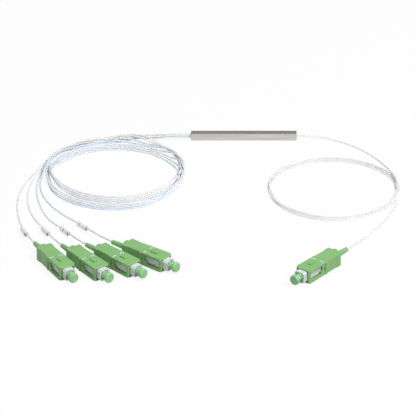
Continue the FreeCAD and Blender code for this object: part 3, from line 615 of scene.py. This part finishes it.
# %% [markdown]
# ## Letting the strands settle
# The strands are put down one pass at a time. In the output coil these are the leads with the
# start of the coil, then the last turn with the tails, then the turn between them. The input
# coil is laid from its tail back to its lead.

# %% Let the strands settle
# the passes in the order in which they are laid, each from one number of turns to another
PASSES = {
    "output": [(-math.inf, 0.458), (1.458, math.inf), (0.458, 1.458)],
    "input": [(2.292, math.inf), (1.292, 2.292), (0.292, 1.292), (-math.inf, 0.292)],
}
# the leads leave the steel tube two above two, so their first pass is laid from below
LEADS_UPWARDS = ("output_3", "output_1", "output_4", "output_2")


def settle(names, passes):
    """The points of the named fibres, raised so that each pass rests on those laid before.
    A row of below is a point that is laid already, its fibre's number and its way along."""
    points = {name: fibre_points(name) for name in names}
    traces = {name: trace(name, points[name]) for name in names}
    below = np.zeros((0, 5))
    for first, last in passes:
        sequence = LEADS_UPWARDS if first == -math.inf and len(names) > 1 else names
        for name in sequence:
            line, way, turns, free = traces[name]
            number = names.index(name)
            here = (turns >= first) & (turns < last)
            rest = np.where(here & free, rest_height(line, way, number, below), -1.0)
            raise_line(line, way, free, rest)
            labels = np.c_[np.full(here.sum(), number), way[here]]
            below = np.concatenate([below, np.c_[line[here], labels]])
    for name in names:
        line, _, _, free = traces[name]
        raise_points(points[name], line, free)
    return points


settled = settle(list(COIL_ORDER), PASSES["output"])
settled.update(settle(["input"], PASSES["input"]))
highest = {name: round(float(route[:, 2].max()), 2) for name, route in settled.items()}
print("highest points:", highest)

# %% [markdown]
# ## The five fibres
# Each fibre takes the place of the plain tubes and rings that stand for it in the model. Its
# true length is measured along its line, and the pieces that it carries are gathered: the
# plug's frame, stop ring and boot, and on an output a marker sleeve.

# %% Lay the five fibres
fibres = {}
for name in PLUG_PLACES:
    fibre = lay_fibre(f"{name}_fibre", settled[name])
    side = "input" if name == "input" else "output"
    tail = "input_tail" if name == "input" else name.replace("output", "output_tail")
    lead = "input_lead" if name == "input" else "output_leads"
    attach(fibre, "root")
    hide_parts(lead, f"{side}_coil", tail)
    length = round(float(way_along(line_of(fibre))[-1]), 3)
    worn = [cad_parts[f"{name}_{part}"] for part in ("boot", "stop_ring", "plug_frame")]
    if name != "input":
        worn.append(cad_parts[name.replace("output", "marker")])
    fibres[name] = fibre
    print(name, "fibre", length, "m")

# %% [markdown]
# ## The jackets
# Loose tube of this size is a soft, slightly milky plastic with a satin skin. Each output has
# its own pale tint, so a fitter can follow it through the coil. One finish is made per tint:
# the tint wanders a little along the strand, and fine noise breaks up the sheen. A clear or
# subsurface plastic would also do, but on a tube this thin the difference doesn't show.

# %% Finish the jackets
JACKET_TINTS = {
    "input": (241, 242, 246),
    "output_1": (227, 236, 254),
    "output_2": (229, 243, 237),
    "output_3": (244, 245, 250),
    "output_4": (247, 238, 244),
}


def jacket_finish(name, red, green, blue):
    """Satin plastic whose colour wanders a little along the strand."""
    material, tree, shader = new_finish(name, Roughness=0.5, IOR=1.35)
    place = object_point(tree)
    drift = noise(tree, place, 90.0)
    pale = linear(min(red + 5, 255), min(green + 5, 255), min(blue + 5, 255))
    full = linear(red - 3, green - 3, blue - 3)
    tree.links.new(ramp(tree, drift, full, pale), shader.inputs["Base Color"])
    add_bump(tree, shader, noise(tree, place, 400.0), 0.01 * MM, 0.2)
    return material


def dress(thing, finish):
    """Gives an object one finish: its slots where it has them, or a new one."""
    if thing.material_slots:
        for slot in thing.material_slots:
            slot.material = finish
    else:
        thing.data.materials.append(finish)


jackets = {name: jacket_finish(f"jacket_{name}", *tint) for name, tint in JACKET_TINTS.items()}
for name, fibre in fibres.items():
    dress(fibre, jackets[name])
print("jackets:", ", ".join(jackets))

# %% [markdown]
# ## Moulded plastic
# The grips, boots and inner frames are injection moulded. Such a skin is satin, with a fine
# spark-eroded texture, and its colour drifts a little with the melt. Its edges are never
# sharp, so the shading normal is rounded by a fraction of a millimetre, which catches a line
# of light on every edge. Real fillets would cost many faces for the same line.

# %% Finish the moulded plastics


def moulded_finish(name, colour, roughness, texture, rounding, drift=0.05):
    """Satin plastic: colour drifts by a share, roughness by 0.05 either way, and the skin is
    fine grain whose depth, like the rounding of the edges, is in millimetres."""
    material, tree, shader = new_finish(name, Specular_IOR_Level=0.45)
    place = object_point(tree)
    tone = linear(*colour)
    clouds = noise(tree, place, 160.0, 3.0)
    tint = ramp(tree, clouds, shade(tone, 1.0 - drift), shade(tone, 1.0 + drift))
    tree.links.new(tint, shader.inputs["Base Color"])
    sheen = between(tree, noise(tree, place, 700.0), roughness - 0.05, roughness + 0.05)
    tree.links.new(sheen, shader.inputs["Roughness"])
    add_bump(tree, shader, noise(tree, place, 4500.0, 3.0), texture * MM, 0.35, rounding * MM)
    return material


grip_green = moulded_finish("grip_green", (142, 196, 125), 0.42, 0.012, 0.16)
boot_green = moulded_finish("boot_green", (140, 194, 126), 0.46, 0.010, 0.12)
frame_white = moulded_finish("frame_white", (234, 235, 240), 0.38, 0.008, 0.12, 0.02)
print("moulded finishes ready")

# %% [markdown]
# ## The translucent cap
# The dust cap is soft translucent plastic: light goes in, scatters and comes out green, and
# the white ferrule behind it shows through as a brighter patch. Full glass would look wet and
# a plain green would look dead, so the shader lets a share of the light through a rough skin.

# %% Finish the dust caps
cap_green, tree, shader = new_finish(
    "cap_green", Transmission_Weight=0.2, IOR=1.45, Specular_IOR_Level=0.5, Subsurface_Weight=0.4
)
shader.inputs["Subsurface Radius"].default_value = (0.5 * MM, 0.9 * MM, 0.5 * MM)
shader.inputs["Subsurface Scale"].default_value = 1.0
place = object_point(tree)
milk = ramp(tree, noise(tree, place, 300.0), linear(168, 228, 166), linear(182, 236, 178))
tree.links.new(milk, shader.inputs["Base Color"])
tree.links.new(between(tree, noise(tree, place, 900.0), 0.24, 0.36), shader.inputs["Roughness"])
add_bump(tree, shader, noise(tree, place, 2500.0), 0.006 * MM, 0.3, 0.15 * MM)
print("cap finish ready")

# %% [markdown]
# ## Metals
# The steel tube was drawn through a die, so its scratches all run along it. Noise that is
# stretched along the tube gives the streaks, in the colour, the roughness and the bump. The
# plug's metal parts are turned and plated, so their grain has no direction.

# %% Finish the steel tube
# cells per metre along, across and up
STREAK = (30.0, 4000.0, 4000.0)
FINE_STREAK = (60.0, 15000.0, 15000.0)

tube_steel, tree, shader = new_finish("drawn_steel", Metallic=1.0)
streaks = noise(tree, object_point(tree, STREAK), 1.0, 4.0, 0.6)
fine = noise(tree, object_point(tree, FINE_STREAK), 1.0, 2.0)
both = combine(tree, "MULTIPLY", combine(tree, "ADD", streaks, fine), 0.5)
tone = ramp(tree, both, linear(184, 182, 178), linear(222, 220, 216), 0.38, 0.62)
tree.links.new(tone, shader.inputs["Base Color"])
tree.links.new(between(tree, both, 0.20, 0.42), shader.inputs["Roughness"])
add_bump(tree, shader, both, 0.006 * MM, 0.25, 0.18 * MM)


def plain_metal(name, colour, roughness):
    """Plated or drawn metal with fine random grain."""
    material, tree, shader = new_finish(name, Metallic=1.0)
    place = object_point(tree)
    tone = linear(*colour)
    tint = ramp(tree, noise(tree, place, 1500.0), shade(tone, 0.88), tone)
    tree.links.new(tint, shader.inputs["Base Color"])
    grain = between(tree, noise(tree, place, 3000.0), roughness - 0.06, roughness + 0.06)
    tree.links.new(grain, shader.inputs["Roughness"])
    add_bump(tree, shader, noise(tree, place, 6000.0), 0.003 * MM, 0.3, 0.05 * MM)
    return material


holder_metal = plain_metal("plated_holder", (205, 198, 182), 0.28)
spring_steel = plain_metal("spring_wire", (182, 182, 184), 0.34)
print("metals ready")

# %% [markdown]
# ## Ceramic, glass and silicone
# The ferrule is ground ceramic, the chip inside the tube is polished glass and the tube's
# plugs are silicone. All are smooth and faintly clouded, so one function makes them.

# %% Finish the ceramic, the glass and the silicone


def milky_finish(name, colour, roughness, transmission=0.0, ior=1.45, scale=900.0):
    """Ceramic, glass or silicone: a smooth body with faint clouds and a near-flat skin."""
    material, tree, shader = new_finish(name, Transmission_Weight=transmission, IOR=ior)
    place = object_point(tree)
    tone = linear(*colour)
    tint = ramp(tree, noise(tree, place, scale), shade(tone, 0.95), tone)
    tree.links.new(tint, shader.inputs["Base Color"])
    skin = between(tree, noise(tree, place, 2.0 * scale), 0.8 * roughness, 1.2 * roughness)
    tree.links.new(skin, shader.inputs["Roughness"])
    add_bump(tree, shader, noise(tree, place, 3.0 * scale), 0.002 * MM, 0.3, 0.04 * MM)
    return material


ceramic = milky_finish("ground_ceramic", (244, 242, 236), 0.14, ior=2.1)
glass = milky_finish("polished_glass", (226, 238, 236), 0.05, 0.85, 1.46)
bare_glass = milky_finish("coated_fibre", (240, 232, 205), 0.20, 0.4, 1.46)
seal_white = milky_finish("silicone_seal", (226, 226, 222), 0.55)
print("ceramic, glass and silicone ready")

# %% [markdown]
# ## The printed sleeves
# A marker sleeve is a short piece of white tube that slides on the fibre. Painted shade makes
# it warmer and darker towards its cut ends. The tint has to follow each sleeve's own length, so
# its finish measures how far a point lies from the sleeve's middle along its own direction.

# %% Place and finish the sleeves
SLEEVE_LENGTH = 7.6
SLEEVE_RADIUS = 1.3
# how far a sleeve hangs below its fibre, and where its middle lies on the fibre's last slope
SLEEVE_SAG = 0.43
SLEEVE_SHARES = {"output_1": 0.1, "output_2": 0.1, "output_3": 0.1, "output_4": 0.2}


def sleeve_frame(name):
    """The middle of a sleeve in millimetres, and its axes as rows: along it towards the plug,
    sideways to the right of that, and up."""
    start, end = np.array(TAIL_ROUTES[name][-1]), plug_end(name)[0]
    along = (end - start) / np.linalg.norm(end - start)
    down = np.array([0.0, 0.0, -1.0])
    down -= along * down.dot(along)
    down /= np.linalg.norm(down)
    middle = start + (end - start) * SLEEVE_SHARES[name] + down * SLEEVE_SAG
    return middle, np.stack([along, np.cross(down, along), -down])


def sleeve_finish(name):
    """Painted shade on white plastic, warmer and darker towards both cut ends. The place along it,
    from 0 at the middle to 1 at an end, is |(point - middle) . direction| / half its length, plus
    clouds."""
    material, tree, shader = new_finish(f"sleeve_{name}", Roughness=0.4, Specular_IOR_Level=0.4)
    middle, axes = sleeve_frame(name)
    place = add_node(tree, "ShaderNodeTexCoord").outputs["Object"]
    inputs = {0: place, 1: tuple(middle * MM)}
    local = add_node(tree, "ShaderNodeVectorMath", inputs, operation="SUBTRACT").outputs[0]
    inputs = {0: local, 1: tuple(axes[0] / (SLEEVE_LENGTH / 2 * MM))}
    along = add_node(tree, "ShaderNodeVectorMath", inputs, operation="DOT_PRODUCT")
    end = combine(tree, "ABSOLUTE", along.outputs["Value"])
    clouds = combine(tree, "MULTIPLY", noise(tree, place, 800.0), 0.3)
    # the share of painted shade, which darkens and warms the white towards both cut ends
    worn = combine(tree, "ADD", end, clouds)
    tint = ramp(tree, worn, linear(250, 249, 252), linear(238, 230, 222), 0.95, 1.2)
    tree.links.new(tint, shader.inputs["Base Color"])
    add_bump(tree, shader, noise(tree, place, 3000.0), 0.005 * MM, 0.3, 0.15 * MM)
    return material


sleeves = {name: sleeve_finish(name) for name in SLEEVE_SHARES}
for number, name in enumerate(SLEEVE_SHARES, start=1):
    dress(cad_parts[f"marker_{number}"], sleeves[name])
    middle, axes = sleeve_frame(name)
    print("sleeve", number, "at", np.round(middle, 1))

# %% [markdown]
# ## A finish for every solid
# The solids keep their shapes and only change their finish, by a rule on their names.

# %% Dress the solids
NODE_FINISHES = {
    "steel_tube": tube_steel,
    "end_plug": seal_white,
    "plc_chip": glass,
    "fibre_block": glass,
    "bare_fibres": bare_glass,
    "input_lead": jackets["input"],
    "input_coil": jackets["input"],
    "input_tail": jackets["input"],
    "output_leads": jackets["output_3"],
    "output_coil": jackets["output_3"],
    "output_tail": jackets["output_3"],
    "grip": grip_green,
    "boot": boot_green,
    "dust_cap": cap_green,
    "plug_frame": frame_white,
    "stop_ring": holder_metal,
    "ferrule_holder": holder_metal,
    "ferrule": ceramic,
    "spring": spring_steel,
}
dressed = 0
longest_first = sorted(NODE_FINISHES, key=len, reverse=True)
for node_name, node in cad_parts.items():
    if not node_name.startswith("marker"):
        key = next(key for key in longest_first if key in node_name)
        dress(node, NODE_FINISHES[key])
        dressed += 1
print("solids dressed:", dressed)

# %% [markdown]
# ## Surfaces from formulas
# The last details are small closed surfaces. Each is a grid of points from a formula, row by
# row, with quads between neighbours. Modifiers could make them too, but a formula says the
# shape outright and costs only the faces that it needs.

# %% Surface helpers


def grid_quads(rows, columns, first=0, around=False):
    """Quads between the neighbours of a grid whose points are numbered row by row from first.
    Where it goes around, the last column joins the first one."""
    steps = np.arange(columns if around else columns - 1)
    row, column = np.meshgrid(np.arange(rows - 1), steps, indexing="ij")
    after = (column + 1) % columns
    ring = ((row, column), (row + 1, column), (row + 1, after), (row, after))
    quads = np.stack([r * columns + c for r, c in ring], axis=2)
    return (first + quads.reshape(-1, 4)).tolist()


def new_piece(name, parts, finish):
    """A smooth mesh object at the origin with one finish. Each part is its points in
    millimetres and its faces, which count the part's own points from zero."""
    faces, first = [], 0
    for points, part_faces in parts:
        faces += [[first + corner for corner in face] for face in part_faces]
        first += len(points)
    mesh = bpy.data.meshes.new(name)
    mesh.from_pydata((np.concatenate([points for points, _ in parts]) * MM).tolist(), [], faces)
    mesh.polygons.foreach_set("use_smooth", [True] * len(mesh.polygons))
    mesh.materials.append(finish)
    mesh.update()
    piece = bpy.data.objects.new(name, mesh)
    bpy.context.scene.collection.objects.link(piece)
    return piece


print("surface helpers ready")

# %% [markdown]
# ## Paint in the moulded marks
# Two short grooves run across each grip, where the plug is fully home when they disappear
# into the adapter. They are filled with pale paint. The paint is a thin pad with a rounded
# outline that bulges a little, as a drop does between two edges. A flat rectangle would have
# hard corners that no brush leaves.

# %% Fill the marks with paint
# a mark behind the plug's front: how far off the middle it starts, and its length and width
MARK_AT = -12.0
MARK_INNER = 1.0
MARK_LENGTH = 3.1
MARK_WIDTH = 0.85
# the grip's top, and how deep the mark's groove is below it
GRIP_TOP = 7.3
MARK_DEPTH = 0.12
PAINT_BULGE = 0.13
# how far the pad's lower face lies in the groove
PAINT_FOOT = 0.03
PAD_ROUND = 48
PAD_RINGS = 10


def paint_pad():
    """A pad with a squarish outline: points go round the superellipse |x|^6 + |y|^6 = 1 at
    every ring of radius v from 0 to 1, and rise by bulge * (1 - v^8)."""
    around = np.linspace(0.0, 2.0 * math.pi, PAD_ROUND, endpoint=False)
    ring = np.sin(np.linspace(0.0, math.pi / 2.0, PAD_RINGS + 1)[1:])
    cos, sin = np.cos(around), np.sin(around)
    reach = (np.abs(cos) ** 6 + np.abs(sin) ** 6) ** (-1.0 / 6.0)
    base = GRIP_TOP - MARK_DEPTH
    x = np.outer(ring, cos * reach) * MARK_WIDTH / 2.0
    y = np.outer(ring, sin * reach) * MARK_LENGTH / 2.0
    z = base + PAINT_BULGE * (1.0 - np.repeat(ring[:, None], PAD_ROUND, axis=1) ** 8)
    top = np.stack([x, y, z], axis=2).reshape(-1, 3)
    foot = base - PAINT_FOOT
    rim = np.c_[x[-1], y[-1], np.full(PAD_ROUND, foot)]
    return np.concatenate([[[0.0, 0.0, base + PAINT_BULGE]], top, rim, [[0.0, 0.0, foot]]])


def pad_faces():
    """Triangles round the middle of the top and of the bottom, and quads between the rings."""
    here = np.arange(PAD_ROUND)
    after = (here + 1) % PAD_ROUND
    last = 1 + PAD_RINGS * PAD_ROUND
    top = np.stack([np.zeros_like(here), 1 + here, 1 + after], axis=1).tolist()
    bottom = np.stack([np.full_like(here, last + PAD_ROUND), last + after, last + here], axis=1)
    return top + grid_quads(PAD_RINGS + 1, PAD_ROUND, 1, around=True) + bottom.tolist()


mark_paint, tree, shader = new_finish("mark_paint", Roughness=0.32, Specular_IOR_Level=0.4)
place = object_point(tree)
tint = ramp(tree, noise(tree, place, 900.0), linear(196, 228, 232), linear(212, 238, 240))
tree.links.new(tint, shader.inputs["Base Color"])
add_bump(tree, shader, noise(tree, place, 1800.0), 0.01 * MM, 0.4)

for name in PLUG_PLACES:
    parts = []
    for side in (-1.0, 1.0):
        shift = [MARK_AT, side * (MARK_INNER + MARK_LENGTH / 2.0), 0.0]
        parts.append((on_plug(name, paint_pad() + shift), pad_faces()))
    paint = new_piece(f"{name}_mark_paint", parts, mark_paint)
    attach(paint, f"{name}_grip_body")
print("paint pads:", 2 * len(PLUG_PLACES), "with", len(paint.data.polygons), "faces a plug")

# %% [markdown]
# ## Wound springs
# Behind each ferrule sits a coil spring, and pressing the ferrule shortens it by a
# millimetre. The model's spring is rigid, so a wound wire takes its place. The turns stay
# between the two faces that hold them, and so nothing in the plug cuts through them. A screw
# modifier would wind the wire too, but the helix's formula also says exactly where both its
# ends stop.

# %% Wind the springs
# the faces that hold a spring, behind the plug's front, and the play at each of them
SPRING_FRONT = -8.1
SPRING_REAR = -15.0
SPRING_PLAY = 0.03
SPRING_RADIUS = 1.92
WIRE_RADIUS = 0.225
SPRING_TURNS = 5.0
WIRE_STEPS = 200
WIRE_SIDES = 12


def wound_wire():
    """A tube along the helix (pitch * t, r cos t, r sin t): at every step a circle of the
    wire's radius stands in the plane through the spring's axis."""
    step = np.linspace(0.0, 1.0, WIRE_STEPS)[:, None]
    side = np.linspace(0.0, 2.0 * math.pi, WIRE_SIDES, endpoint=False)[None, :]
    turn = 2.0 * math.pi * SPRING_TURNS * step
    start = SPRING_REAR + SPRING_PLAY + WIRE_RADIUS
    rise = SPRING_FRONT - SPRING_PLAY - WIRE_RADIUS - start
    x = start + rise * step + WIRE_RADIUS * np.cos(side)
    reach = SPRING_RADIUS + WIRE_RADIUS * np.sin(side)
    y, z = reach * np.sin(turn), AXIS_HEIGHT + reach * np.cos(turn)
    return np.stack([x, y, z], axis=2).reshape(-1, 3)


def wire_faces():
    """Quads between neighbouring circles, and one flat face on each end."""
    near = list(range(WIRE_SIDES))
    last = (WIRE_STEPS - 1) * WIRE_SIDES
    far = [last + side for side in reversed(near)]
    return grid_quads(WIRE_STEPS, WIRE_SIDES, around=True) + [near, far]


for name in PLUG_PLACES:
    parts = [(on_plug(name, wound_wire()), wire_faces())]
    wire = new_piece(f"{name}_wound_wire", parts, spring_steel)
    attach(wire, "root")
    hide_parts(f"{name}_spring")
    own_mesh(wire)
print("springs:", len(PLUG_PLACES), "with", len(wire.data.polygons), "faces each")

# %% [markdown]
# ## The port numbers
# Sleeves one and two carry their port number. A text object could be shrink-wrapped on the
# sleeve, but two digits are easier to draw as strokes: a line is thickened to a flat ribbon
# and rolled onto the cylinder, so that the ink follows the sleeve's curve.

# %% Print the numbers
# half the ink's thickness, the width of a stroke and the points along it
INK_LIFT = 0.015
STROKE = 0.26
DIGIT_STEPS = 40
# how far a number is rolled round its sleeve from the top, in radians
DIGIT_TURN = 0.55
# the edges of a ribbon, as shares of half its width
RIBBON_EDGES = (-1.0, -0.33, 0.33, 1.0)


def stroke_line(corners):
    """Even points along straight runs between corners."""
    corners = np.asarray(corners, float)
    way = way_along(corners)
    even = np.linspace(0.0, way[-1], DIGIT_STEPS)
    return np.stack([np.interp(even, way, corners[:, axis]) for axis in (0, 1)], axis=1)


def two_line():
    """The digit two: an arc from the left over the top to the lower right, a slant down to the
    left corner, and a base line."""
    arc = np.radians(np.linspace(170.0, -35.0, 16))
    head = np.stack([0.40 * np.cos(arc), 0.38 + 0.40 * np.sin(arc)], axis=1)
    return np.concatenate([head, [(-0.42, -0.78), (0.44, -0.78)]])


# where a number's middle lies, as a share of the sleeve's length, and its stroke
DIGITS = {
    "output_1": (-0.20, [(-0.30, 0.48), (0.02, 0.78), (0.02, -0.78)]),
    "output_2": (-0.07, two_line()),
}


def ribbon_points(line, centre, name):
    """A flat ribbon round a line: its edges are offset across the line's direction. x runs
    along the sleeve and y is rolled round it by y / radius, once outside and once inside."""
    way = np.gradient(line, axis=0)
    way /= np.linalg.norm(way, axis=1)[:, None]
    across = np.stack([-way[:, 1], way[:, 0]], axis=1) * STROKE / 2.0
    edges = np.stack([line + across * share for share in RIBBON_EDGES], axis=1)
    middle, axes = sleeve_frame(name)
    along, roll = centre + edges[..., 0], DIGIT_TURN + edges[..., 1] / SLEEVE_RADIUS
    rolled = []
    for radius in (SLEEVE_RADIUS + INK_LIFT, SLEEVE_RADIUS - INK_LIFT):
        local = np.stack([along, radius * np.cos(roll), radius * np.sin(roll)], axis=-1)
        rolled.append((middle + local @ axes).reshape(-1, 3))
    return np.concatenate(rolled)


def ribbon_faces(count, wide):
    """Quads of the outer and the inner sheet, and a wall along their common outline. The corner
    that a quad starts with sets the diagonal along which an export splits it."""
    lower = count * wide
    outer = [[b, c, d, a] for a, b, c, d in grid_quads(count, wide)]
    inner = [[a, d, c, b] for a, b, c, d in grid_quads(count, wide, lower)]
    grid = np.arange(lower).reshape(count, wide)
    outline = np.concatenate([grid[:-1, 0], grid[-1, :-1], grid[:0:-1, -1], grid[0, :0:-1]])
    after = np.roll(outline, -1)
    wall = np.stack([lower + outline, lower + after, after, outline], axis=1)
    return outer + inner + wall.tolist()


ink_black, tree, shader = new_finish("printed_ink", Roughness=0.5, Specular_IOR_Level=0.3)
place = object_point(tree)
tint = ramp(tree, noise(tree, place, 2500.0), linear(44, 42, 46), linear(66, 64, 68))
tree.links.new(tint, shader.inputs["Base Color"])
add_bump(tree, shader, noise(tree, place, 5000.0), 0.003 * MM, 0.3)

for name, (share, corners) in DIGITS.items():
    points = ribbon_points(stroke_line(corners), share * SLEEVE_LENGTH, name)
    faces = ribbon_faces(DIGIT_STEPS, len(RIBBON_EDGES))
    number = new_piece(f"{name}_port_number", [(points, faces)], ink_black)
    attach(number, "root")
    print("number on", name, "with", len(faces), "faces")
